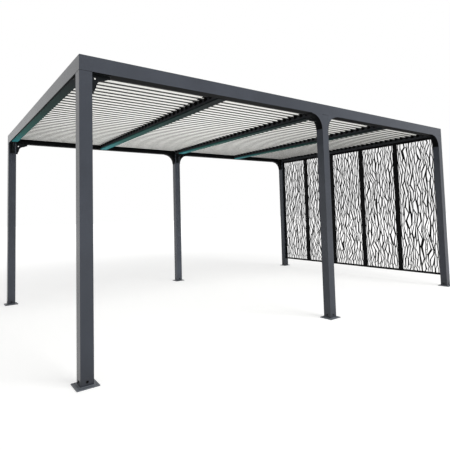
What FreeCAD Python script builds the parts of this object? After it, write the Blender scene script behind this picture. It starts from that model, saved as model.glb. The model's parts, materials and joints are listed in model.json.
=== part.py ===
# Louvered pergola: six square posts on bolted base plates, a mitred ring of box beams,
# three crossbeams that part the roof into four bays, rows of tilting louver blades,
# curved corner brackets, and one end closed by a framed screen of pierced sheets.
# Millimetres. The origin is on the ground, at the middle of the six posts.
# X runs along the front, from the open end to the screen, Y from front to back, Z up.
import FreeCAD
import Part
import math
import os

# Overall frame, over the outer faces of the posts
frame_length = 5400.0
frame_width = 3600.0
frame_height = 2400.0

# Posts and their feet
post_side = 95.0
post_wall = 2.5
plate_side = 160.0
plate_thickness = 8.0
plate_hole_diameter = 12.0
plate_hole_inset = 19.0
socket_height = 150.0
socket_wall = 4.0
socket_clearance = 0.4

# Box beams of the roof ring, as wide as the posts, and the crossbeams between them
beam_depth = 118.0
beam_width = post_side
beam_wall = 3.0
crossbeam_width = 95.0
bay_count = 4

# Louver blades: a sheet with its front edge turned up as a stiff lip, which turns on a tab
# at the middle of each end; as many rows as fit at the least pitch
blade_least_pitch = 94.0
blade_overlap = 2.7
blade_sheet = 1.5
blade_lip = 7.0
blade_tab_width = 14.0
blade_end_gap = 5.0
blade_edge_gap = 7.0
pivot_drop = 50.0
blade_tilt = 8.0

# Corner brackets between posts and beams, and the hollow fairings that are as deep as a post
bracket_leg = 150.0
bracket_width = 60.0
bracket_sheet = 5.0
bracket_toe = 26.0
bracket_round = 60.0
bracket_hole_diameter = 16.0
bracket_hole_offset = 34.0
bracket_hole_sides = 8
fairing_leg = 165.0
fairing_sheet = 3.0
fairing_toe = 6.0

# Screen at the right end
screen_clear_height = 155.0
screen_depth = 30.0
screen_rail_height = 28.0
screen_end_stile_width = 20.0
screen_stile_width = 70.0
screen_wall = 2.0
screen_panel_count = 5
panel_sheet = 3.0
slot_columns = 4
slot_rows = 4
slot_web = 26.0
slot_edge = 22.0
slot_lean = 14.0

# Places that follow from the sizes above
post_x = [-frame_length / 2 + post_side / 2, 0.0, frame_length / 2 - post_side / 2]
post_y = [-frame_width / 2 + post_side / 2, frame_width / 2 - post_side / 2]
beam_bottom = frame_height - beam_depth
crossbeam_length = frame_width - 2 * beam_width
crossbeam_x = [frame_length * (i / bay_count - 0.5) for i in range(1, bay_count)]
pivot_height = frame_height - pivot_drop
blade_field = crossbeam_length - 2 * blade_edge_gap
blade_rows = int(blade_field // blade_least_pitch)
blade_pitch = blade_field / blade_rows
blade_chord = blade_pitch + blade_overlap

os.makedirs("parts", exist_ok=True)


def save(name, shapes):
    """Write one named piece, made of one solid or of several that stand apart."""
    solids = [solid for shape in shapes for solid in shape.Solids]
    shape = solids[0] if len(solids) == 1 else Part.makeCompound(solids)
    shape.exportStep("parts/" + name + ".step")


def box(low, high):
    """A block between two opposite corners."""
    size = [b - a for a, b in zip(low, high)]
    return Part.makeBox(size[0], size[1], size[2], FreeCAD.Vector(*low))


def prism(points, sweep):
    """A flat outline of straight sides, extruded."""
    corners = [FreeCAD.Vector(*p) for p in points]
    return Part.Face(Part.makePolygon(corners + corners[:1])).extrude(FreeCAD.Vector(*sweep))


def box_tube(low, high, wall, along):
    """A rectangular tube, open at both ends of the axis named by its number."""
    inner_low = [a if k == along else a + wall for k, a in enumerate(low)]
    inner_high = [b if k == along else b - wall for k, b in enumerate(high)]
    return box(low, high).cut(box(inner_low, inner_high))


def post(x, y):
    """A square tube that stands on its base plate and ends under the beams."""
    half = post_side / 2
    low = (x - half, y - half, plate_thickness)
    high = (x + half, y + half, beam_bottom)
    return box_tube(low, high, post_wall, 2)


def base_plate(x, y):
    """A drilled plate with the welded socket that the post slides over."""
    half = plate_side / 2
    plate = box((x - half, y - half, 0), (x + half, y + half, plate_thickness))
    socket_half = post_side / 2 - post_wall - socket_clearance
    socket = box_tube((x - socket_half, y - socket_half, plate_thickness),
                      (x + socket_half, y + socket_half, plate_thickness + socket_height),
                      socket_wall, 2)
    reach = half - plate_hole_inset
    holes = [Part.makeCylinder(plate_hole_diameter / 2, plate_thickness,
                               FreeCAD.Vector(x + sx * reach, y + sy * reach, 0))
             for sx in (-1, 1) for sy in (-1, 1)]
    return plate.fuse(socket).cut(Part.makeCompound(holes))


def long_beam(side):
    """Front (-1) or back (1) beam of the ring, mitred at both ends."""
    outer = side * frame_width / 2
    inner = outer - side * beam_width
    end = frame_length / 2
    tube = box_tube((-end, min(outer, inner), beam_bottom),
                    (end, max(outer, inner), frame_height), beam_wall, 0)
    waste = [prism([(sx * end, outer, beam_bottom), (sx * end, inner, beam_bottom),
                    (sx * (end - beam_width), inner, beam_bottom)], (0, 0, beam_depth))
             for sx in (-1, 1)]
    return tube.cut(Part.makeCompound(waste))


def end_beam(side):
    """Left (-1) or right (1) beam of the ring, mitred at both ends."""
    outer = side * frame_length / 2
    inner = outer - side * beam_width
    end = frame_width / 2
    tube = box_tube((min(outer, inner), -end, beam_bottom),
                    (max(outer, inner), end, frame_height), beam_wall, 1)
    waste = [prism([(outer, sy * end, beam_bottom), (inner, sy * end, beam_bottom),
                    (inner, sy * (end - beam_width), beam_bottom)], (0, 0, beam_depth))
             for sy in (-1, 1)]
    return tube.cut(Part.makeCompound(waste))


def crossbeam(x):
    """A box tube that runs from the front beam to the back beam."""
    half = crossbeam_width / 2
    return box_tube((x - half, -crossbeam_length / 2, beam_bottom),
                    (x + half, crossbeam_length / 2, frame_height), beam_wall, 1)


def blade(x_low, x_high):
    """One blade along X, level, with its pivot axis on the origin line."""
    half = blade_chord / 2
    over = blade_sheet / 2
    section = [(-half, -over), (half, -over), (half, over), (-half + blade_sheet, over),
               (-half + blade_sheet, blade_lip), (-half, blade_lip)]
    sheet = prism([(x_low + blade_end_gap, y, z) for y, z in section],
                  (x_high - x_low - 2 * blade_end_gap, 0, 0))
    tabs = box((x_low, -blade_tab_width / 2, -over), (x_high, blade_tab_width / 2, over))
    return sheet.fuse(tabs).removeSplitter()


def bay_spans():
    """The clear width of each roof bay, between the beams that carry its blades."""
    half = crossbeam_width / 2
    lows = [-frame_length / 2 + beam_width] + [x + half for x in crossbeam_x]
    highs = [x - half for x in crossbeam_x] + [frame_length / 2 - beam_width]
    return list(zip(lows, highs))


def louver_row(row):
    """The blades of one row, one in each bay, tilted about their shared axis."""
    y = -blade_field / 2 + (row + 0.5) * blade_pitch
    blades = []
    for x_low, x_high in bay_spans():
        shape = blade(x_low, x_high)
        shape.rotate(FreeCAD.Vector(0, 0, 0), FreeCAD.Vector(1, 0, 0), -blade_tilt)
        shape.translate(FreeCAD.Vector(0, y, pivot_height))
        blades.append(shape)
    return blades


def hollow_corner(leg, toe, depth, radius):
    """A corner outline with a hollow quarter-round in its inner edge, its corner on the origin.

    It lies in the XZ plane, reaches along +X and down, and is extruded along Y,
    half to each side. Its two arms run straight on from the quarter-round to their ends.
    """
    vector = FreeCAD.Vector
    y = -depth / 2
    start = toe + radius
    centre = vector(start, y, -start)
    middle = centre + vector(-radius * math.sqrt(0.5), 0, radius * math.sqrt(0.5))
    arc = Part.Arc(vector(start, y, -toe), middle, vector(toe, y, -start)).toShape()
    corners = [vector(toe, y, -start), vector(toe, y, -leg), vector(0, y, -leg),
               vector(0, y, 0), vector(leg, y, 0), vector(leg, y, -toe),
               vector(start, y, -toe)]
    edges = [Part.LineSegment(a, b).toShape() for a, b in zip(corners, corners[1:])
             if a.distanceToPoint(b) > 0.01]
    return Part.Face(Part.Wire([arc] + edges)).extrude(vector(0, depth, 0))


def bracket():
    """A corner bracket: a rounded web with a hole, between a post leg and a beam leg."""
    half = bracket_width / 2
    web = hollow_corner(bracket_leg, bracket_toe, bracket_sheet, bracket_round)
    turns = [2 * math.pi * (k + 0.5) / bracket_hole_sides for k in range(bracket_hole_sides)]
    hole = prism([(bracket_hole_offset + bracket_hole_diameter / 2 * math.cos(turn),
                   -bracket_sheet / 2,
                   -bracket_hole_offset + bracket_hole_diameter / 2 * math.sin(turn))
                  for turn in turns], (0, bracket_sheet, 0))
    beam_leg = box((0, -half, -bracket_sheet), (bracket_leg, half, 0))
    post_leg = box((0, -half, -bracket_leg), (bracket_sheet, half, 0))
    return web.cut(hole).fuse([beam_leg, post_leg]).removeSplitter()


def fairing():
    """A pressed fairing as deep as the post: two flat skins joined by a curved sheet."""
    radius = fairing_leg - fairing_toe
    block = hollow_corner(fairing_leg, fairing_toe, post_side, radius)
    inside = hollow_corner(fairing_leg, fairing_toe - fairing_sheet,
                           post_side - 2 * fairing_sheet, radius + fairing_sheet)
    return block.cut(inside)


def placed(shape, x, y, turn):
    """A copy of a corner piece set under the beams, turned about the vertical."""
    copy = shape.copy()
    copy.rotate(FreeCAD.Vector(0, 0, 0), FreeCAD.Vector(0, 0, 1), turn)
    copy.translate(FreeCAD.Vector(x, y, beam_bottom))
    return copy


def corners_along_front(shape, y, posts_facing):
    """Corner pieces beside the posts of one long side: facing 1 reaches right, -1 left."""
    half = post_side / 2
    return [placed(shape, post_x[i] + way * half, y, 0 if way > 0 else 180)
            for i, way in posts_facing]


def corners_across(shape, x):
    """The two corner pieces that face each other across the pergola at one x."""
    half = post_side / 2
    return [placed(shape, x, post_y[0] + half, 90), placed(shape, x, post_y[1] - half, -90)]


def screen_stile_spans():
    """The y span of each upright of the screen, from front to back."""
    low = post_y[0] + post_side / 2
    high = post_y[1] - post_side / 2
    stiles = screen_panel_count - 1
    clear = high - low - 2 * screen_end_stile_width - stiles * screen_stile_width
    panel = clear / screen_panel_count
    spans = [(low, low + screen_end_stile_width)]
    for _ in range(stiles):
        start = spans[-1][1] + panel
        spans.append((start, start + screen_stile_width))
    spans.append((high - screen_end_stile_width, high))
    return spans


def screen_bar(y_low, y_high, z_low, z_high, along):
    """A hollow bar of the screen's frame, centred in the depth of the posts."""
    x = post_x[2]
    half = screen_depth / 2
    return box_tube((x - half, y_low, z_low), (x + half, y_high, z_high), screen_wall, along)


def screen_panel(y_low, y_high, z_low, z_high):
    """A sheet pierced by staggered upright slivers that lean to and fro."""
    x = post_x[2] - panel_sheet / 2
    sheet = box((x, y_low, z_low), (x + panel_sheet, y_high, z_high))
    pitch_y = (y_high - y_low - 2 * slot_edge) / (slot_columns + 0.5)
    pitch_z = (z_high - z_low - 2 * slot_edge) / (slot_rows + 0.5)
    half_y = (pitch_y - slot_web) / 2 + slot_lean / 2
    half_z = (pitch_z - slot_web) / 2
    cuts = []
    for column in range(slot_columns):
        for row in range(slot_rows):
            y = y_low + slot_edge + pitch_y * (column + 0.5 + 0.5 * (row % 2))
            z = z_low + slot_edge + pitch_z * (row + 0.5 + 0.5 * (column % 2))
            lean = slot_lean if (row + column) % 2 else -slot_lean
            outline = [(x, y - lean, z - half_z), (x, y + half_y, z - lean),
                       (x, y + lean, z + half_z), (x, y - half_y, z + lean)]
            cuts.append(prism(outline, (panel_sheet, 0, 0)))
    return sheet.cut(Part.makeCompound(cuts))


# Posts and feet
for side_name, y in zip(("front", "back"), post_y):
    for place_name, x in zip(("left", "middle", "right"), post_x):
        save("post_" + side_name + "_" + place_name, [post(x, y)])
save("base_plates", [base_plate(x, y) for y in post_y for x in post_x])

# Roof frame
save("beam_front", [long_beam(-1)])
save("beam_back", [long_beam(1)])
save("beam_left", [end_beam(-1)])
save("beam_right", [end_beam(1)])
save("crossbeams", [crossbeam(x) for x in crossbeam_x])

# Louver blades
for row in range(blade_rows):
    save("louver_row_%02d" % (row + 1), louver_row(row))

# Corner brackets of the left posts and across the roof, and the fairings of the other posts
corner = bracket()
cover = fairing()
covered = [(1, -1), (1, 1), (2, -1)]
save("bracket_front_left", corners_along_front(corner, post_y[0], [(0, 1)]))
save("bracket_back_left", corners_along_front(corner, post_y[1], [(0, 1)]))
save("brackets_across", corners_across(corner, post_x[0]) + corners_across(corner, post_x[1]))
save("corner_fairings", corners_along_front(cover, post_y[0], covered)
     + corners_along_front(cover, post_y[1], covered))

# Screen at the right end
stiles = screen_stile_spans()
screen_top = beam_bottom - screen_rail_height
screen_bottom = screen_clear_height + screen_rail_height
save("screen_rails", [
    screen_bar(stiles[0][0], stiles[-1][1], screen_clear_height, screen_bottom, 1),
    screen_bar(stiles[0][0], stiles[-1][1], screen_top, beam_bottom, 1)])
save("screen_stiles", [screen_bar(a, b, screen_bottom, screen_top, 2) for a, b in stiles])
for number in range(screen_panel_count):
    y_low = stiles[number][1]
    y_high = stiles[number + 1][0]
    save("screen_panel_%d" % (number + 1),
         [screen_panel(y_low, y_high, screen_bottom, screen_top)])
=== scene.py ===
import json
import math
import random

import bmesh
import bpy
from mathutils import Matrix, Vector
from mathutils.geometry import delaunay_2d_cdt


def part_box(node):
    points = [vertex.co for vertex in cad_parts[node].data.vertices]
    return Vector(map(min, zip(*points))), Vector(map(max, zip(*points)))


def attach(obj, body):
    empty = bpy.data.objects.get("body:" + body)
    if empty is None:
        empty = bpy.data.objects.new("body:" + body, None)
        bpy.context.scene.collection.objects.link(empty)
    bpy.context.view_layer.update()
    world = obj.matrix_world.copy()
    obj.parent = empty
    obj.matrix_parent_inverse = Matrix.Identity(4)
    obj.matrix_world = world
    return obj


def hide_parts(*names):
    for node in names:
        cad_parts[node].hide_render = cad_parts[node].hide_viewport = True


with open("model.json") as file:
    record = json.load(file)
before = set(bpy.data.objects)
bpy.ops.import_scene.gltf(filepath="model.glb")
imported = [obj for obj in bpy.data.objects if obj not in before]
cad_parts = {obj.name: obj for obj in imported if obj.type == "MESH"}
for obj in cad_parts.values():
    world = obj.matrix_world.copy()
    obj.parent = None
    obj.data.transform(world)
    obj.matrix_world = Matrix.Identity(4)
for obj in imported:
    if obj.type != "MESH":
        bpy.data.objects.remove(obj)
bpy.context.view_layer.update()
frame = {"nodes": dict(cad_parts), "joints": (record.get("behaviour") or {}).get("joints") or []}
scene = bpy.context.scene

# Camera
# A standing view from just outside the open left end, a step in front of the near post.
# It looks along the roof's diagonal from about chest height, with a moderately wide lens.
camera_place = Vector((-3.5277, -4.7896, 1.2053))
camera_yaw = math.radians(37.3970)
camera_pitch = math.radians(3.5237)
camera_roll = math.radians(-1.6616)
forward = Vector((math.sin(camera_yaw) * math.cos(camera_pitch),
                  math.cos(camera_yaw) * math.cos(camera_pitch),
                  math.sin(camera_pitch)))
level = Vector((math.cos(camera_yaw), -math.sin(camera_yaw), 0))
above = level.cross(forward)
across = math.cos(camera_roll) * level + math.sin(camera_roll) * above
upward = math.cos(camera_roll) * above - math.sin(camera_roll) * level
camera_data = bpy.data.cameras.new("camera")
camera_data.sensor_width = 36
camera_data.lens = 32.0708
camera_data.shift_x = -0.0345
camera_data.shift_y = -0.0842
camera = bpy.data.objects.new("camera", camera_data)
camera.matrix_world = (Matrix.Translation(camera_place)
                       @ Matrix((across, upward, -forward)).transposed().to_4x4())
scene.collection.objects.link(camera)
scene.camera = camera

# Floor and studio light
# A pale floor in an even white surround, a wide soft lamp above the front, and a low panel
# under the roof that stands for the light which a sunny terrace throws up at the blades.
scene.view_settings.view_transform = "Standard"
floor_radius = 60.0
fade_start = 3.0
fade_end = 14.0
near_white = 0.66
surround_strength = 0.39
white = (1.0, 1.0, 1.0, 1.0)


def add_node(tree, kind, inputs=None, stops=None, **settings):
    """Add a node with its properties, its sockets' values or links, and its ramp's stops."""
    node = tree.nodes.new(kind)
    for name, value in settings.items():
        setattr(node, name, value)
    for key, value in (inputs or {}).items():
        if isinstance(value, bpy.types.NodeSocket):
            tree.links.new(value, node.inputs[key])
        else:
            node.inputs[key].default_value = value
    if stops:
        ramp = node.color_ramp
        while len(ramp.elements) < len(stops):
            ramp.elements.new(0.5)
        for element, (position, colour) in zip(ramp.elements, stops):
            element.position = position
            element.color = colour
    return node


def linear(code):
    """A colour written as sRGB hex, in the linear values that a shader takes."""
    channels = [int(code[k:k + 2], 16) / 255 for k in (1, 3, 5)]
    return tuple(c / 12.92 if c <= 0.04045 else ((c + 0.055) / 1.055) ** 2.4
                 for c in channels) + (1.0,)


def empty_material(name):
    """A new material and its bare node tree."""
    material = bpy.data.materials.new(name)
    material.use_nodes = True
    material.node_tree.nodes.clear()
    return material, material.node_tree


surround = bpy.data.worlds.new("surround")
surround.use_nodes = True
tree = surround.node_tree
tree.nodes.clear()
path = add_node(tree, "ShaderNodeLightPath")
soft = add_node(tree, "ShaderNodeBackground", {"Color": white, "Strength": surround_strength})
seen = add_node(tree, "ShaderNodeBackground", {"Color": white, "Strength": 1.0})
shown = add_node(tree, "ShaderNodeMath", {0: path.outputs["Is Camera Ray"],
                                          1: path.outputs["Is Glossy Ray"]},
                 operation="MAXIMUM")
both = add_node(tree, "ShaderNodeMixShader", {0: shown.outputs[0], 1: soft.outputs[0],
                                              2: seen.outputs[0]})
add_node(tree, "ShaderNodeOutputWorld", {"Surface": both.outputs[0]})
scene.world = surround

# The floor is matt white. The camera and mirror rays see half of its own light and a part of
# plain white, which grows with distance: it runs into the surround and keeps a soft shadow
floor_white, tree = empty_material("matt_white_floor")
path = add_node(tree, "ShaderNodeLightPath")
shown = add_node(tree, "ShaderNodeMath", {0: path.outputs["Is Camera Ray"],
                                          1: path.outputs["Is Glossy Ray"]},
                 operation="MAXIMUM")
place = add_node(tree, "ShaderNodeTexCoord")
reach = add_node(tree, "ShaderNodeVectorMath", {0: place.outputs["Object"]}, operation="LENGTH")
rise = add_node(tree, "ShaderNodeMapRange",
                {"Value": reach.outputs["Value"], "From Min": fade_start,
                 "From Max": fade_end, "To Min": near_white, "To Max": 1.0})
light = add_node(tree, "ShaderNodeMath", {0: rise.outputs[0], 1: shown.outputs[0]},
                 operation="MULTIPLY")
half = add_node(tree, "ShaderNodeMath", {0: shown.outputs[0], 1: 0.5}, operation="MULTIPLY")
matt = add_node(tree, "ShaderNodeBsdfDiffuse", {"Color": linear("#f2f2f0")})
own = add_node(tree, "ShaderNodeMixShader", {0: half.outputs[0], 1: matt.outputs[0]})
glow = add_node(tree, "ShaderNodeEmission", {"Color": white, "Strength": light.outputs[0]})
both = add_node(tree, "ShaderNodeAddShader", {0: own.outputs[0], 1: glow.outputs[0]})
add_node(tree, "ShaderNodeOutputMaterial", {"Surface": both.outputs[0]})
floor_mesh = bpy.data.meshes.new("floor")
floor_mesh.from_pydata([(sx * floor_radius, sy * floor_radius, -0.0005)
                        for sx, sy in ((-1, -1), (1, -1), (1, 1), (-1, 1))], [], [(0, 1, 2, 3)])
floor_mesh.materials.append(floor_white)
floor = bpy.data.objects.new("floor", floor_mesh)
scene.collection.objects.link(floor)


def softbox(name, place, target, width, height, watts):
    """A rectangular lamp that faces its target; neither it nor its mirror image is seen."""
    data = bpy.data.lights.new(name, "AREA")
    data.shape = "RECTANGLE"
    data.size = width
    data.size_y = height
    data.energy = watts
    lamp = bpy.data.objects.new(name, data)
    lamp.location = place
    lamp.rotation_euler = (Vector(target) - Vector(place)).to_track_quat("-Z", "Y").to_euler()
    lamp.visible_camera = False
    lamp.visible_glossy = False
    scene.collection.objects.link(lamp)


softbox("front_lamp", (3.0, -13.0, 9.0), (0, 0, 1.0), 9.0, 5.0, 1780)
softbox("floor_bounce", (-0.9, 0.45, 0.02), (-0.9, 0.45, 2), 3.4, 2.6, 54)

# Posts
# Square aluminium tubes, cut to length and powder-coated in anthracite; each slides over the
# socket on its base plate and carries the beams on its upper end.
post_names = ["post_%s_%s" % (side, place)
              for side in ("front", "back") for place in ("left", "middle", "right")]
edge_radius = 0.0018


def powder_coat(name, code, roughness, gloss_level, splash_height=0.0):
    """Powder coat baked on metal: matt, finely pebbled, a little uneven in tone.

    The real pebble is about 1 mm across and is drawn 4 mm wide here, because a finer one
    doesn't show. Rain splashes a dull film on the lowest stretch of a post.
    """
    pebble_width = 0.004
    tone_width = 0.4
    fleck_width = 0.02
    coat, tree = empty_material(name)
    place = add_node(tree, "ShaderNodeTexCoord")
    cloud = add_node(tree, "ShaderNodeTexNoise", {"Vector": place.outputs["Object"],
                                                  "Scale": 1 / tone_width, "Detail": 4.0})
    tone = [tuple(c * share for c in linear(code)[:3]) + (1.0,) for share in (0.9, 1.1)]
    colour = add_node(tree, "ShaderNodeValToRGB", {"Fac": cloud.outputs["Fac"]},
                      stops=[(0.35, tone[0]), (0.65, tone[1])]).outputs["Color"]
    if splash_height:
        parts = add_node(tree, "ShaderNodeSeparateXYZ", {"Vector": place.outputs["Object"]})
        specks = add_node(tree, "ShaderNodeTexNoise", {"Vector": place.outputs["Object"],
                                                       "Scale": 1 / fleck_width,
                                                       "Detail": 6.0})
        rise = add_node(tree, "ShaderNodeMapRange",
                        {"Value": parts.outputs["Z"], "From Min": 0.0,
                         "From Max": splash_height, "To Min": 0.9, "To Max": 0.0})
        amount = add_node(tree, "ShaderNodeMath", {0: rise.outputs[0], 1: specks.outputs["Fac"]},
                          operation="MULTIPLY")
        colour = add_node(tree, "ShaderNodeMixRGB",
                          {"Fac": amount.outputs[0], "Color1": colour,
                           "Color2": linear("#26272a")}).outputs["Color"]
    pebble = add_node(tree, "ShaderNodeTexNoise", {"Vector": place.outputs["Object"],
                                                   "Scale": 1 / pebble_width,
                                                   "Detail": 2.0})
    bump = add_node(tree, "ShaderNodeBump", {"Height": pebble.outputs["Fac"],
                                             "Strength": 0.25, "Distance": 0.0006})
    gloss = add_node(tree, "ShaderNodeMapRange",
                     {"Value": cloud.outputs["Fac"], "To Min": roughness - 0.05,
                      "To Max": roughness + 0.05})
    shader = add_node(tree, "ShaderNodeBsdfPrincipled",
                      {"Base Color": colour, "Roughness": gloss.outputs[0],
                       "Normal": bump.outputs[0], "IOR": 1.5,
                       "Specular IOR Level": gloss_level})
    add_node(tree, "ShaderNodeOutputMaterial", {"Surface": shader.outputs[0]})
    return coat


def plain_object(name, mesh):
    """An object at the origin that shows a finished mesh."""
    piece = bpy.data.objects.new(name, mesh)
    scene.collection.objects.link(piece)
    return piece


def dressed(node, name, coats, pick=None, edge=edge_radius):
    """A CAD node's shape with softened edges; pick gives a face the number of its coat."""
    soft_copy = bmesh.new()
    soft_copy.from_mesh(frame["nodes"][node].data)
    bmesh.ops.remove_doubles(soft_copy, verts=soft_copy.verts, dist=1e-5)
    bmesh.ops.dissolve_limit(soft_copy, angle_limit=math.radians(1), verts=soft_copy.verts,
                             edges=soft_copy.edges)
    sharp = [e for e in soft_copy.edges if e.calc_face_angle(0) > math.radians(40)]
    bmesh.ops.bevel(soft_copy, geom=sharp, offset=edge, segments=2, profile=0.5,
                    affect="EDGES", clamp_overlap=True)
    mesh = bpy.data.meshes.new(name)
    soft_copy.to_mesh(mesh)
    soft_copy.free()
    for coat in coats:
        mesh.materials.append(coat)
    for face in mesh.polygons:
        face.material_index = pick(face) if pick else 0
    piece = plain_object(name, mesh)
    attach(piece, "frame")
    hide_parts(node)
    return piece


post_coat = powder_coat("powder_coated_post_aluminium", "#373b43", 0.25, 0.31, splash_height=0.16)
for post_name in post_names:
    dressed(post_name, post_name + "_tube", [post_coat])

# Base plates
# Square steel plates, sawn, drilled at the corners and welded to the socket in the post; they
# carry a paler anthracite coat, laid over a weld bead round the post that ripples every 6 mm.
plate_coat = powder_coat("powder_coated_plate_steel", "#5d6167", 0.5, 0.4)
plates = frame["nodes"]["base_plates"]
plates.data.materials.clear()
plates.data.materials.append(plate_coat)

post_boxes = [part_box(post_name) for post_name in post_names]
post_side = post_boxes[0][1].x - post_boxes[0][0].x
plate_top = post_boxes[0][0].z
post_centres = [((low.x + high.x) / 2, (low.y + high.y) / 2) for low, high in post_boxes]


def node_tree(name, sockets):
    """A new Geometry Nodes tree with its named inputs; returns the tree and its input node."""
    tree = bpy.data.node_groups.new(name, "GeometryNodeTree")
    for label, kind in sockets:
        tree.interface.new_socket(label, in_out="INPUT", socket_type="NodeSocket" + kind)
    tree.interface.new_socket("Geometry", in_out="OUTPUT", socket_type="NodeSocketGeometry")
    return tree, tree.nodes.new("NodeGroupInput")


def finish_tree(tree, geometry, material):
    """Real meshes instead of instances, with their material, at the end of a tree."""
    real = add_node(tree, "GeometryNodeRealizeInstances", {"Geometry": geometry})
    coated = add_node(tree, "GeometryNodeSetMaterial", {"Geometry": real.outputs[0],
                                                        "Material": material})
    add_node(tree, "NodeGroupOutput", {"Geometry": coated.outputs[0]})


def grown(name, carrier, tree, values, thickness=0.0):
    """The plain mesh that a tree makes from a carrier mesh, as an object of its own."""
    piece = plain_object(name, carrier)
    modifier = piece.modifiers.new("grow", "NODES")
    modifier.node_group = tree
    for item in tree.interface.items_tree:
        if item.in_out == "INPUT" and item.name in values:
            modifier[item.identifier] = values[item.name]
    if thickness:
        shell = piece.modifiers.new("sheet", "SOLIDIFY")
        shell.thickness = thickness
        shell.offset = 0.0
    graph = bpy.context.evaluated_depsgraph_get()
    graph.update()
    mesh = bpy.data.meshes.new_from_object(piece.evaluated_get(graph), depsgraph=graph)
    piece.modifiers.clear()
    piece.data = mesh
    mesh.name = name
    return piece


tree, given = node_tree("weld_beads", [("Geometry", "Geometry"), ("Side", "Float"),
                                       ("Bead", "Float"), ("Ripple", "Float"),
                                       ("Coat", "Material")])
square = add_node(tree, "GeometryNodeCurvePrimitiveQuadrilateral",
                  {"Width": given.outputs["Side"], "Height": given.outputs["Side"]})
steps = add_node(tree, "GeometryNodeResampleCurve", {"Curve": square.outputs[0], "Count": 96})
section = add_node(tree, "GeometryNodeCurvePrimitiveCircle",
                   {"Resolution": 8, "Radius": given.outputs["Bead"]})
bead = add_node(tree, "GeometryNodeCurveToMesh", {"Curve": steps.outputs[0],
                                                  "Profile Curve": section.outputs[0]})
place = add_node(tree, "GeometryNodeInputPosition")
wave = add_node(tree, "ShaderNodeTexNoise", {"Vector": place.outputs[0], "Scale": 1 / 0.006})
normal = add_node(tree, "GeometryNodeInputNormal")
height = add_node(tree, "ShaderNodeMath", {0: wave.outputs["Fac"],
                                           1: given.outputs["Ripple"]}, operation="MULTIPLY")
push = add_node(tree, "ShaderNodeVectorMath", {0: normal.outputs[0], "Scale": height.outputs[0]},
                operation="SCALE")
rippled = add_node(tree, "GeometryNodeSetPosition", {"Geometry": bead.outputs[0],
                                                     "Offset": push.outputs[0]})
copies = add_node(tree, "GeometryNodeInstanceOnPoints", {"Points": given.outputs["Geometry"],
                                                         "Instance": rippled.outputs[0]})
finish_tree(tree, copies.outputs[0], given.outputs["Coat"])
carrier = bpy.data.meshes.new("weld_places")
carrier.from_pydata([(x, y, plate_top) for x, y in post_centres], [], [])
welds = grown("foot_welds", carrier, tree, {"Side": post_side + 0.001, "Bead": 0.0035,
                                            "Ripple": 0.0015, "Coat": plate_coat})
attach(welds, "frame")

# Roof ring
# Four extruded box beams in the posts' anthracite, mitred at the corners and flush with the
# posts; their inward and lower faces carry a black coat, which is painted shade.
beam_coat = powder_coat("powder_coated_beam_aluminium", "#373b43", 0.25, 0.31)

# Painted shade: black and dull on lower faces, dark grey with a faint sheen on upright sides
painted_shade_black = powder_coat("powder_coated_painted_shade_black", "#0a0b0c", 0.55, 0.02)
painted_shade_grey = powder_coat("powder_coated_painted_shade_grey", "#2b2d30", 0.6, 0.06)


def ring_coat(outward):
    """Chooses coat 0 for outer and top faces, 1 for lower ones and 2 for inner ones; 1 and 2 are
    painted shade.
    """
    def pick(face):
        if face.normal.z > 0.7 or face.normal.dot(outward) > 0.5:
            return 0
        return 1 if face.normal.z < -0.5 else 2
    return pick


for beam, outward in (("beam_front", Vector((0, -1, 0))), ("beam_back", Vector((0, 1, 0))),
                      ("beam_left", Vector((-1, 0, 0))), ("beam_right", Vector((1, 0, 0)))):
    # The right beam's inner side has the paler painted shade, as the crossbeams' sides have
    inner_coat = painted_shade_grey if beam == "beam_right" else painted_shade_black
    dressed(beam, beam + "_tube", [beam_coat, painted_shade_black, inner_coat],
            ring_coat(outward))

# Joint gaps
# The beams sit on the posts with a narrow open joint, which shows as a dark line on the faces
# that look outward; the line is painted shadow, a dark strip a fraction of a millimetre proud of
# them.
gap_height = 0.0025
gap_proud = 0.0003
gap_inset = 0.002

# Painted shadow of the open joint: next to black, uneven in specks of about 20 mm
joint_shadow_coat, tree = empty_material("painted_joint_shadow")
place = add_node(tree, "ShaderNodeTexCoord")
shadow_specks = add_node(tree, "ShaderNodeTexNoise", {"Vector": place.outputs["Object"],
                                             "Scale": 1 / 0.02, "Detail": 2.0})
colour = add_node(tree, "ShaderNodeValToRGB", {"Fac": shadow_specks.outputs["Fac"]},
                  stops=[(0.35, linear("#0c0d0e")), (0.7, linear("#17181a"))])
shader = add_node(tree, "ShaderNodeBsdfPrincipled", {"Base Color": colour.outputs[0],
                                                     "Roughness": 0.9,
                                                     "Specular IOR Level": 0.05})
add_node(tree, "ShaderNodeOutputMaterial", {"Surface": shader.outputs[0]})


def add_block(shape, low, high, number=0):
    """Add a block between two opposite corners, its faces in the numbered coat."""
    size = [b - a for a, b in zip(low, high)]
    middle = [(a + b) / 2 for a, b in zip(low, high)]
    placing = Matrix.Translation(middle) @ Matrix.Diagonal(size + [1.0])
    made = bmesh.ops.create_cube(shape, size=1.0, matrix=placing)
    for face in {face for vert in made["verts"] for face in vert.link_faces}:
        face.material_index = number


gap_level = post_boxes[0][1].z
gaps = bmesh.new()
for (x, y), (low, high) in zip(post_centres, post_boxes):
    face_y = low.y if y < 0 else high.y
    add_block(gaps, (low.x + gap_inset, face_y - gap_proud, gap_level - gap_height / 2),
              (high.x - gap_inset, face_y + gap_proud, gap_level + gap_height / 2))
    at_corner = abs(x) > post_side
    if at_corner:
        face_x = low.x if x < 0 else high.x
        add_block(gaps, (face_x - gap_proud, low.y + gap_inset, gap_level - gap_height / 2),
                  (face_x + gap_proud, high.y - gap_inset, gap_level + gap_height / 2))
mesh = bpy.data.meshes.new("joint_gap_shadows")
gaps.to_mesh(mesh)
gaps.free()
mesh.materials.append(joint_shadow_coat)
piece = plain_object("joint_gap_shadows", mesh)
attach(piece, "frame")
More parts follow.
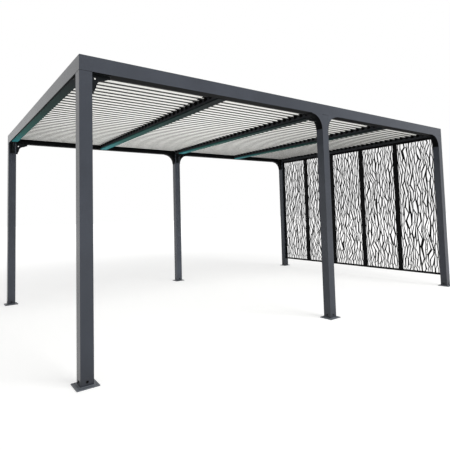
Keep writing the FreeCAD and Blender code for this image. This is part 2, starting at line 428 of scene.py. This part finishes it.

# Crossbeams and teal reflection strips
# Three box beams of the same section between the long beams, in painted shade: black below and
# dark grey on the sides where the blades turn on them; a teal strip of painted reflection lies
# under each and under the left beam.
dressed("crossbeams", "crossbeam_tubes", [beam_coat, painted_shade_black, painted_shade_grey],
        ring_coat(Vector((0, 0, 1))))

cross_low, cross_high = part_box("crossbeams")
cross_width = 0.095
cross_centres = [cross_low.x + cross_width / 2, 0.0, cross_high.x - cross_width / 2]
left_low, left_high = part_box("beam_left")
bracket_reach = 0.151
strip_thickness = 0.0015
strip_margin = 0.002
strip_left_beam_margin = 0.016
strip_wrap = 0.012


def teal_painted_reflection(name, front_y, back_y):
    """Painted reflection of teal surroundings in a satin sheet, near black at the front and
    brighter teal towards the back.

    Streaks of about 250 mm break up its tone, and a faint waviness its sheen.
    """
    acrylic, tree = empty_material(name)
    place = add_node(tree, "ShaderNodeTexCoord")
    parts = add_node(tree, "ShaderNodeSeparateXYZ", {"Vector": place.outputs["Object"]})
    along = add_node(tree, "ShaderNodeMapRange", {"Value": parts.outputs["Y"],
                                                  "From Min": front_y, "From Max": back_y})
    streaks = add_node(tree, "ShaderNodeTexNoise", {"Vector": place.outputs["Object"],
                                                    "Scale": 1 / 0.25, "Detail": 3.0})
    drift = add_node(tree, "ShaderNodeMapRange", {"Value": streaks.outputs["Fac"],
                                                  "To Min": -0.08, "To Max": 0.08})
    spot = add_node(tree, "ShaderNodeMath", {0: along.outputs[0], 1: drift.outputs[0]})
    colour = add_node(tree, "ShaderNodeValToRGB", {"Fac": spot.outputs[0]},
                      stops=[(0.08, linear("#151b1c")), (0.38, linear("#112b28")),
                             (0.75, linear("#184c47")), (0.97, linear("#2f7d84"))])
    bump = add_node(tree, "ShaderNodeBump", {"Height": streaks.outputs["Fac"],
                                             "Strength": 0.1, "Distance": 0.001})
    shader = add_node(tree, "ShaderNodeBsdfPrincipled",
                      {"Base Color": colour.outputs[0], "Roughness": 0.55,
                       "Normal": bump.outputs[0], "IOR": 1.49, "Specular IOR Level": 0.03})
    add_node(tree, "ShaderNodeOutputMaterial", {"Surface": shader.outputs[0]})
    return acrylic


# Teal strips of painted reflection under the crossbeams and the left beam
strips = bmesh.new()
strip_low = cross_low.z - strip_thickness
add_block(strips, (left_low.x + strip_left_beam_margin,
                   left_low.y + post_side + bracket_reach, strip_low),
          (left_high.x - strip_margin, left_high.y - post_side - bracket_reach, cross_low.z))
for centre, reach in zip(cross_centres, (0.0, bracket_reach, 0.0)):
    side = centre - cross_width / 2
    add_block(strips, (side - strip_thickness, cross_low.y + reach, strip_low),
              (side + cross_width - strip_margin, cross_high.y - reach, cross_low.z))
    add_block(strips, (side - strip_thickness, cross_low.y + reach, cross_low.z),
              (side, cross_high.y - reach, cross_low.z + strip_wrap))
mesh = bpy.data.meshes.new("teal_reflection_strips")
strips.to_mesh(mesh)
strips.free()
mesh.materials.append(teal_painted_reflection("teal_painted_reflection_sheet", left_low.y, left_high.y))
painted_reflection_piece = plain_object("teal_reflection_strips", mesh)
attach(painted_reflection_piece, "frame")

# Corner brackets and fairings
# Cast corner brackets with a rounded web, bolted between post and beam, and pressed fairings
# as deep as the posts, which close the corners of the middle and right posts with a curve.
# Each bracket's web is a flat cheek with a hollow edge and one hole, which saves weight.

# Painted shade: the brackets are black and dull, so that their cast form shows by its outline
bracket_painted_shade = powder_coat("powder_coated_bracket_painted_shade", "#181b1d", 0.5, 0.08)
for name in ("bracket_front_left", "bracket_back_left", "brackets_across"):
    dressed(name, name + "_casting", [bracket_painted_shade], edge=0.0012)

beam_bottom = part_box("beam_front")[0].z
left_x = post_centres[0][0]
brackets = []
for x, y, along in ((left_x, post_centres[0][1], Vector((1, 0, 0))),
                    (left_x, post_centres[3][1], Vector((1, 0, 0))),
                    (left_x, post_centres[0][1], Vector((0, 1, 0))),
                    (left_x, post_centres[3][1], Vector((0, -1, 0))),
                    (0.0, post_centres[1][1], Vector((0, 1, 0))),
                    (0.0, post_centres[4][1], Vector((0, -1, 0)))):
    brackets.append((Vector((x, y, beam_bottom)) + along * post_side / 2, along))

web_thickness = 0.006
web_arm = 0.042
web_round = 0.060
web_hole_place = 0.034
web_hole_radius = 0.008
hollow = web_arm + web_round
web_outline = [(0.003, 0.003), (0.148, 0.003), (0.148, 0.020), (0.120, 0.034)]
web_outline += [(hollow - web_round * math.sin(turn), hollow - web_round * math.cos(turn))
                for turn in (math.pi / 16 * k for k in range(9))]
web_outline += [(0.034, 0.120), (0.020, 0.148), (0.003, 0.148)]
web_hole = [(web_hole_place + web_hole_radius * math.cos(turn),
             web_hole_place + web_hole_radius * math.sin(turn))
            for turn in (math.pi / 4 * (k + 0.5) for k in range(8))]


def add_web(shape, corner, along):
    """Add a bracket's cheek: a flat plate with a hollow edge and a hole, along and down."""
    across = along.cross(Vector((0, 0, 1))) * web_thickness
    loops = []
    for outline in (web_outline, web_hole):
        verts = [shape.verts.new(corner + along * u - Vector((0, 0, w)) - across / 2)
                 for u, w in outline]
        loops += [shape.edges.new((verts[k - 1], verts[k])) for k in range(len(verts))]
    filled = bmesh.ops.triangle_fill(shape, edges=loops, use_beauty=True)
    faces = [item for item in filled["geom"] if isinstance(item, bmesh.types.BMFace)]
    grown_out = bmesh.ops.extrude_face_region(shape, geom=faces, use_keep_orig=True)
    verts = [item for item in grown_out["geom"] if isinstance(item, bmesh.types.BMVert)]
    bmesh.ops.translate(shape, verts=verts, vec=across)


cheeks = bmesh.new()
for corner, along in brackets:
    add_web(cheeks, corner, along)
bmesh.ops.recalc_face_normals(cheeks, faces=cheeks.faces)
mesh = bpy.data.meshes.new("bracket_cheeks")
cheeks.to_mesh(mesh)
cheeks.free()
mesh.materials.append(bracket_painted_shade)
piece = plain_object("bracket_cheeks", mesh)
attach(piece, "frame")


def fairing_coat(face):
    """Anthracite on the skins that look outward; painted shade in black on the inner ones and the
    curve.
    """
    return 0 if face.normal.y * face.center.y > 0.7 else 1


dressed("corner_fairings", "corner_fairing_pressings", [beam_coat, painted_shade_black],
        fairing_coat, edge=0.0006)

# Screws
# Button-head screws with a round socket, zinc-plated and blackened: one low on each face
# of a post, where it grips the socket, and a row along the legs of each bracket.

# Blackened zinc on steel: nearly black, dull, stained in blots of about 5 mm
blackened_zinc, tree = empty_material("blackened_zinc_steel")
place = add_node(tree, "ShaderNodeTexCoord")
stain = add_node(tree, "ShaderNodeTexNoise", {"Vector": place.outputs["Object"],
                                              "Scale": 1 / 0.005, "Detail": 3.0})
colour = add_node(tree, "ShaderNodeValToRGB", {"Fac": stain.outputs["Fac"]},
                  stops=[(0.3, linear("#060607")), (0.7, linear("#0f1011"))])
shader = add_node(tree, "ShaderNodeBsdfPrincipled", {"Base Color": colour.outputs[0],
                                                     "Metallic": 0.3, "Roughness": 0.6,
                                                     "Specular IOR Level": 0.1})
add_node(tree, "ShaderNodeOutputMaterial", {"Surface": shader.outputs[0]})

tree, given = node_tree("button_head_screws", [("Geometry", "Geometry"), ("Radius", "Float"),
                                               ("Height", "Float"), ("Coat", "Material")])
crown = add_node(tree, "ShaderNodeMath", {0: given.outputs["Radius"], 1: 0.7},
                 operation="MULTIPLY")
head = add_node(tree, "GeometryNodeMeshCone",
                {"Vertices": 14, "Radius Top": crown.outputs[0],
                 "Radius Bottom": given.outputs["Radius"], "Depth": given.outputs["Height"]})
rim = add_node(tree, "GeometryNodeExtrudeMesh", {"Mesh": head.outputs["Mesh"],
                                                 "Selection": head.outputs["Top"],
                                                 "Offset Scale": 0.0}, mode="FACES")
narrow = add_node(tree, "GeometryNodeScaleElements", {"Geometry": rim.outputs["Mesh"],
                                                      "Selection": rim.outputs["Top"],
                                                      "Scale": 0.6})
depth = add_node(tree, "ShaderNodeMath", {0: given.outputs["Height"], 1: -0.6},
                 operation="MULTIPLY")
sunk = add_node(tree, "GeometryNodeExtrudeMesh", {"Mesh": narrow.outputs[0],
                                                  "Selection": rim.outputs["Top"],
                                                  "Offset Scale": depth.outputs[0]},
                mode="FACES")
facing = add_node(tree, "GeometryNodeInputNamedAttribute", {"Name": "facing"},
                  data_type="FLOAT_VECTOR")
turn = add_node(tree, "FunctionNodeAlignRotationToVector",
                {"Vector": facing.outputs["Attribute"]}, axis="Z")
copies = add_node(tree, "GeometryNodeInstanceOnPoints",
                  {"Points": given.outputs["Geometry"], "Instance": sunk.outputs["Mesh"],
                   "Rotation": turn.outputs[0]})
finish_tree(tree, copies.outputs[0], given.outputs["Coat"])
screw_tree = tree

foot_screw_height = 0.038
foot_places = []
for x, y in post_centres:
    for facing in (Vector((1, 0, 0)), Vector((-1, 0, 0)), Vector((0, 1, 0)), Vector((0, -1, 0))):
        centre = Vector((x, y, foot_screw_height))
        foot_places.append((centre + facing * post_side / 2, facing))

bracket_thickness = 0.005
bracket_screw_reaches = (0.058, 0.122)
bracket_screw_offset = 0.017
bracket_places = []
for corner, along in brackets:
    aside = along.cross(Vector((0, 0, 1))) * bracket_screw_offset
    for reach in bracket_screw_reaches:
        for side in (-1, 1):
            down = Vector((0, 0, -reach))
            under = Vector((0, 0, -bracket_thickness))
            bracket_places.append((corner + side * aside + along * reach + under,
                                   Vector((0, 0, -1))))
            bracket_places.append((corner + side * aside + along * bracket_thickness + down,
                                   along))


def screws(name, places, radius, height):
    """Screw heads that stand on the given places, each facing its own way."""
    carrier = bpy.data.meshes.new(name + "_places")
    carrier.from_pydata([at for at, _ in places], [], [])
    facing = carrier.attributes.new("facing", "FLOAT_VECTOR", "POINT")
    facing.data.foreach_set("vector", [c for _, way in places for c in way])
    piece = grown(name, carrier, screw_tree, {"Radius": radius, "Height": height,
                                              "Coat": blackened_zinc})
    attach(piece, "frame")


screws("foot_screws", foot_places, 0.010, 0.0035)
screws("bracket_screws", bracket_places, 0.0075, 0.0032)

# Louver blades
# Roll-formed aluminium blades in a pale coil coat, one in each bay of a row; each turns on its
# end tabs, has two stiffening ribs on top, a dark strip of painted shadow under its low rear
# edge for the shaded gap between blades, and a black moulded cap on each end.
blade_tilt = math.radians(8)
blade_sheet = 0.0015
blade_half_chord = 0.0485
gap_shadow_width = 0.027
gap_shadow_thickness = 0.0015
rib_places = (-0.016, 0.012)
rib_half_width = 0.004
rib_height = 0.0022
bush_radius = 0.0095
cap_thickness = 0.003
cap_reach = 0.045
cap_rise = 0.005
cap_drop = 0.009
lobe_low = (-0.034, -0.036)
lobe_high = (0.014, -0.004)
tongue_length = 0.030
tongue_low = (-0.042, -0.0045)
tongue_high = (0.002, 0.0)
blade_end_gap = 0.005

# Coil coat on rolled aluminium: off-white and satin, with faint streaks along the blade,
# about 0.8 m long and 35 mm wide
blade_white, tree = empty_material("coil_coated_blade_aluminium")
place = add_node(tree, "ShaderNodeTexCoord")
stretch = add_node(tree, "ShaderNodeMapping", {"Vector": place.outputs["Object"],
                                               "Scale": (0.6, 14.0, 14.0)})
rolled = add_node(tree, "ShaderNodeTexNoise", {"Vector": stretch.outputs[0], "Scale": 2.0,
                                               "Detail": 5.0})
colour = add_node(tree, "ShaderNodeValToRGB", {"Fac": rolled.outputs["Fac"]},
                  stops=[(0.3, linear("#ecebe7")), (0.7, linear("#f7f7f4"))])
bump = add_node(tree, "ShaderNodeBump", {"Height": rolled.outputs["Fac"], "Strength": 0.15,
                                         "Distance": 0.0006})
gloss = add_node(tree, "ShaderNodeMapRange", {"Value": rolled.outputs["Fac"],
                                              "To Min": 0.42, "To Max": 0.55})
shader = add_node(tree, "ShaderNodeBsdfPrincipled",
                  {"Base Color": colour.outputs[0], "Roughness": gloss.outputs[0],
                   "Normal": bump.outputs[0], "IOR": 1.5})
add_node(tree, "ShaderNodeOutputMaterial", {"Surface": shader.outputs[0]})

# Painted shadow of the gap between blades: dull dark grey, a little paler in patches of about 50
# mm
gap_shadow_coat, tree = empty_material("painted_gap_shadow_strip")
place = add_node(tree, "ShaderNodeTexCoord")
bloom = add_node(tree, "ShaderNodeTexNoise", {"Vector": place.outputs["Object"],
                                              "Scale": 1 / 0.05, "Detail": 4.0})
colour = add_node(tree, "ShaderNodeValToRGB", {"Fac": bloom.outputs["Fac"]},
                  stops=[(0.35, linear("#1a1a1a")), (0.7, linear("#242424"))])
shader = add_node(tree, "ShaderNodeBsdfPrincipled", {"Base Color": colour.outputs[0],
                                                     "Roughness": 0.75, "IOR": 1.5})
add_node(tree, "ShaderNodeOutputMaterial", {"Surface": shader.outputs[0]})

# Moulded nylon: deep black with next to no gloss, mottled every 10 mm or so
nylon_black, tree = empty_material("moulded_cap_nylon")
place = add_node(tree, "ShaderNodeTexCoord")
mottle = add_node(tree, "ShaderNodeTexNoise", {"Vector": place.outputs["Object"],
                                               "Scale": 1 / 0.01, "Detail": 3.0})
colour = add_node(tree, "ShaderNodeValToRGB", {"Fac": mottle.outputs["Fac"]},
                  stops=[(0.35, linear("#020202")), (0.7, linear("#060606"))])
shader = add_node(tree, "ShaderNodeBsdfPrincipled", {"Base Color": colour.outputs[0],
                                                     "Roughness": 0.8, "IOR": 1.5,
                                                     "Specular IOR Level": 0.04})
add_node(tree, "ShaderNodeOutputMaterial", {"Surface": shader.outputs[0]})


def extrude_along_x(shape, section, x_low, x_high, number):
    """Add a closed bar with the given (y, z) outline, capped at both ends."""
    ends = [[shape.verts.new((x, y, z)) for y, z in section] for x in (x_low, x_high)]
    count = len(section)
    faces = [shape.faces.new(reversed(ends[0])), shape.faces.new(ends[1])]
    for k in range(count):
        following = (k + 1) % count
        faces.append(shape.faces.new((ends[0][k], ends[0][following],
                                      ends[1][following], ends[1][k])))
    for face in faces:
        face.material_index = number


inner_left = left_high.x
inner_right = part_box("beam_right")[0].x
bay_lows = [inner_left] + [x + cross_width / 2 for x in cross_centres]
bay_highs = [x - cross_width / 2 for x in cross_centres] + [inner_right]

gap_shadow_section = [(blade_half_chord - gap_shadow_width, -blade_sheet / 2 - gap_shadow_thickness / 2),
                (blade_half_chord - gap_shadow_thickness, -blade_sheet / 2 - gap_shadow_thickness),
                (blade_half_chord, -blade_sheet / 2),
                (blade_half_chord - gap_shadow_width, -blade_sheet / 2)]
rib_sections = [[(middle - rib_half_width, blade_sheet / 2),
                 (middle + rib_half_width, blade_sheet / 2),
                 (middle + rib_half_width / 2, blade_sheet / 2 + rib_height),
                 (middle - rib_half_width / 2, blade_sheet / 2 + rib_height)]
                for middle in rib_places]
bush_section = [(bush_radius * math.cos(2 * math.pi * k / 12),
                 bush_radius * math.sin(2 * math.pi * k / 12)) for k in range(12)]
cap_section = [(-cap_reach, -cap_drop / 2), (-cap_reach + 0.006, -cap_drop),
               (cap_reach - 0.006, -cap_drop), (cap_reach, -cap_drop / 2),
               (cap_reach, cap_rise / 2), (cap_reach - 0.004, cap_rise),
               (-cap_reach + 0.004, cap_rise), (-cap_reach, cap_rise / 2)]

for joint in frame["joints"]:
    body = joint["child"]
    number = body[-2:]
    row = frame["nodes"]["louver_row_" + number]
    row.data.materials.clear()
    row.data.materials.append(blade_white)
    trim = bmesh.new()
    for low, high in zip(bay_lows, bay_highs):
        first = low + blade_end_gap
        last = high - blade_end_gap
        extrude_along_x(trim, gap_shadow_section, first + 0.001, last - 0.001, 1)
        for section in rib_sections:
            extrude_along_x(trim, section, first + 0.002, last - 0.002, 0)
        extrude_along_x(trim, cap_section, first - cap_thickness, first, 2)
        extrude_along_x(trim, cap_section, last, last + cap_thickness, 2)
        for x_low in (first - cap_thickness, last):
            add_block(trim, (x_low + 0.0002,) + lobe_low,
                      (x_low + cap_thickness - 0.0002,) + lobe_high, 2)
        for x_low, x_high in ((first, first + tongue_length), (last - tongue_length, last)):
            add_block(trim, (x_low,) + tongue_low, (x_high,) + tongue_high, 2)
        extrude_along_x(trim, bush_section, low + 0.0003, first - cap_thickness, 2)
        extrude_along_x(trim, bush_section, last + cap_thickness, high - 0.0003, 2)
    bmesh.ops.rotate(trim, verts=trim.verts, cent=(0, 0, 0),
                     matrix=Matrix.Rotation(-blade_tilt, 3, "X"))
    bmesh.ops.translate(trim, verts=trim.verts, vec=(0, joint["pos_m"][1], joint["pos_m"][2]))
    bmesh.ops.recalc_face_normals(trim, faces=trim.faces)
    mesh = bpy.data.meshes.new("blade_trim_" + number)
    trim.to_mesh(mesh)
    trim.free()
    mesh.materials.append(blade_white)
    mesh.materials.append(gap_shadow_coat)
    mesh.materials.append(nylon_black)
    piece = plain_object("blade_trim_" + number, mesh)
    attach(piece, body)

# Screen
# A frame of flat aluminium tube between the right posts and five laser-cut sheets in it, all
# powder-coated black; the sheets are cut in upright slivers, a layout of this part's own.

# The screen's powder coat is black and dull, so that the webs stand out against the light
screen_black = powder_coat("powder_coated_screen_black", "#0a0b0c", 0.55, 0.06)
for name in ("screen_rails", "screen_stiles"):
    dressed(name, name + "_tubes", [screen_black])

sliver_pitch = 0.048
sliver_length = 0.255
least_distance = 0.58
edge_distance = 0.36
sheet_thickness = 0.003


def sliver_net(name, width, height, seed):
    """A net of triangles over scattered points; each inner point becomes one sliver.

    The points are strewn with a least distance in a plane where a sliver is as long as it is
    wide, and then drawn out upright.
    """
    chance = random.Random(seed)
    across = width / sliver_pitch
    up = height / sliver_length
    columns = round(across / 0.8)
    rows = round(up / 0.8)
    points = [(across * k / columns, side * up) for k in range(columns + 1) for side in (0, 1)]
    points += [(side * across, up * k / rows) for k in range(1, rows) for side in (0, 1)]
    inner = []
    for _ in range(2000):
        spot = (chance.uniform(edge_distance, across - edge_distance),
                chance.uniform(edge_distance, up - edge_distance))
        if all(math.dist(spot, other) > least_distance for other in inner):
            inner.append(spot)
    points += inner
    _, _, triangles, _, _, _ = delaunay_2d_cdt([Vector(at) for at in points], [], [], 0, 1e-6)
    net = bpy.data.meshes.new(name)
    net.from_pydata([((u / across - 0.5) * width, (v / up - 0.5) * height, 0.0)
                     for u, v in points], [], triangles)
    return net


tree, given = node_tree("pierced_sheet",
                        [("Geometry", "Geometry"), ("Hole Width", "Float"),
                         ("Hole Length", "Float"), ("Sliver Length", "Float"),
                         ("Point", "Float"), ("Sway", "Float"), ("Half Width", "Float"),
                         ("Seed", "Float"), ("Centre", "Vector"), ("Coat", "Material")])
cells = add_node(tree, "GeometryNodeDualMesh", {"Mesh": given.outputs["Geometry"],
                                                "Keep Boundaries": True})
place = add_node(tree, "GeometryNodeInputPosition")
marked = add_node(tree, "GeometryNodeStoreNamedAttribute",
                  {"Geometry": cells.outputs[0], "Name": "middle", "Value": place.outputs[0]},
                  data_type="FLOAT_VECTOR", domain="FACE")
edges = add_node(tree, "GeometryNodeExtrudeMesh", {"Mesh": marked.outputs[0],
                                                   "Offset Scale": 0.0, "Individual": True},
                 mode="FACES")

# Each hole is drawn in towards the middle of its cell, and most of all at its two ends
middle = add_node(tree, "GeometryNodeInputNamedAttribute", {"Name": "middle"},
                  data_type="FLOAT_VECTOR")
arm = add_node(tree, "ShaderNodeVectorMath", {0: place.outputs[0],
                                              1: middle.outputs["Attribute"]},
               operation="SUBTRACT")
arms = add_node(tree, "ShaderNodeSeparateXYZ", {"Vector": arm.outputs[0]})
share = add_node(tree, "ShaderNodeMath", {0: arms.outputs["Y"],
                                          1: given.outputs["Sliver Length"]},
                 operation="DIVIDE")
twice = add_node(tree, "ShaderNodeMath", {0: share.outputs[0], 1: 2.0}, operation="MULTIPLY")
square = add_node(tree, "ShaderNodeMath", {0: twice.outputs[0], 1: twice.outputs[0]},
                  operation="MULTIPLY")
end = add_node(tree, "ShaderNodeMath", {0: square.outputs[0], 1: 1.0}, operation="MINIMUM")
lost = add_node(tree, "ShaderNodeMath", {0: end.outputs[0], 1: given.outputs["Point"]},
                operation="MULTIPLY")
kept = add_node(tree, "ShaderNodeMath", {0: 1.0, 1: lost.outputs[0]}, operation="SUBTRACT")
wide = add_node(tree, "ShaderNodeMath", {0: kept.outputs[0], 1: given.outputs["Hole Width"]},
                operation="MULTIPLY")
factor = add_node(tree, "ShaderNodeCombineXYZ", {"X": wide.outputs[0],
                                                 "Y": given.outputs["Hole Length"]})
reach = add_node(tree, "ShaderNodeVectorMath", {0: arm.outputs[0], 1: factor.outputs[0]},
                 operation="MULTIPLY")
spot = add_node(tree, "ShaderNodeVectorMath", {0: middle.outputs["Attribute"],
                                               1: reach.outputs[0]}, operation="ADD")
holes = add_node(tree, "GeometryNodeSetPosition", {"Geometry": edges.outputs["Mesh"],
                                                   "Selection": edges.outputs["Top"],
                                                   "Position": spot.outputs[0]})
webs = add_node(tree, "GeometryNodeDeleteGeometry", {"Geometry": holes.outputs[0],
                                                     "Selection": edges.outputs["Top"]},
                domain="FACE")
plain = add_node(tree, "GeometryNodeRemoveAttribute", {"Geometry": webs.outputs[0],
                                                       "Name": "middle"})

# Webs and holes sway sideways together, so that the slivers lean in groups; the rim stays put
layer = add_node(tree, "ShaderNodeCombineXYZ", {"Z": given.outputs["Seed"]})
field = add_node(tree, "ShaderNodeVectorMath", {0: place.outputs[0], 1: (1 / 0.15, 1 / 0.26, 0),
                                                2: layer.outputs[0]}, operation="MULTIPLY_ADD")
drift = add_node(tree, "ShaderNodeTexNoise", {"Vector": field.outputs[0], "Scale": 1.0,
                                              "Detail": 1.0})
swing = add_node(tree, "ShaderNodeMath", {0: drift.outputs["Fac"], 1: 0.5},
                 operation="SUBTRACT")
parts = add_node(tree, "ShaderNodeSeparateXYZ", {"Vector": place.outputs[0]})
aside = add_node(tree, "ShaderNodeMath", {0: parts.outputs["X"]}, operation="ABSOLUTE")
room = add_node(tree, "ShaderNodeMath", {0: given.outputs["Half Width"], 1: aside.outputs[0]},
                operation="SUBTRACT")
fade = add_node(tree, "ShaderNodeMapRange", {"Value": room.outputs[0], "From Max": 0.12})
amount = add_node(tree, "ShaderNodeMath", {0: fade.outputs[0], 1: given.outputs["Sway"]},
                  operation="MULTIPLY")
shift = add_node(tree, "ShaderNodeMath", {0: swing.outputs[0], 1: amount.outputs[0]},
                 operation="MULTIPLY")
move = add_node(tree, "ShaderNodeCombineXYZ", {"X": shift.outputs[0]})
swayed = add_node(tree, "GeometryNodeSetPosition", {"Geometry": plain.outputs[0],
                                                    "Offset": move.outputs[0]})
upright = add_node(tree, "GeometryNodeTransform",
                   {"Geometry": swayed.outputs[0], "Translation": given.outputs["Centre"],
                    "Rotation": (math.pi / 2, 0, math.pi / 2)})
finish_tree(tree, upright.outputs[0], given.outputs["Coat"])

for number in range(1, 6):
    node = "screen_panel_%d" % number
    low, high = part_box(node)
    net = sliver_net(node + "_net", high.y - low.y, high.z - low.z, 40 + number)
    sheet = grown("pierced_sheet_%d" % number, net, tree,
                  {"Hole Width": 0.68, "Hole Length": 0.95, "Sliver Length": sliver_length,
                   "Point": 0.8, "Sway": 0.22, "Half Width": (high.y - low.y) / 2,
                   "Seed": 10.0 * number, "Centre": (low + high) / 2, "Coat": screen_black},
                  thickness=sheet_thickness)
    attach(sheet, "frame")
    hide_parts(node)
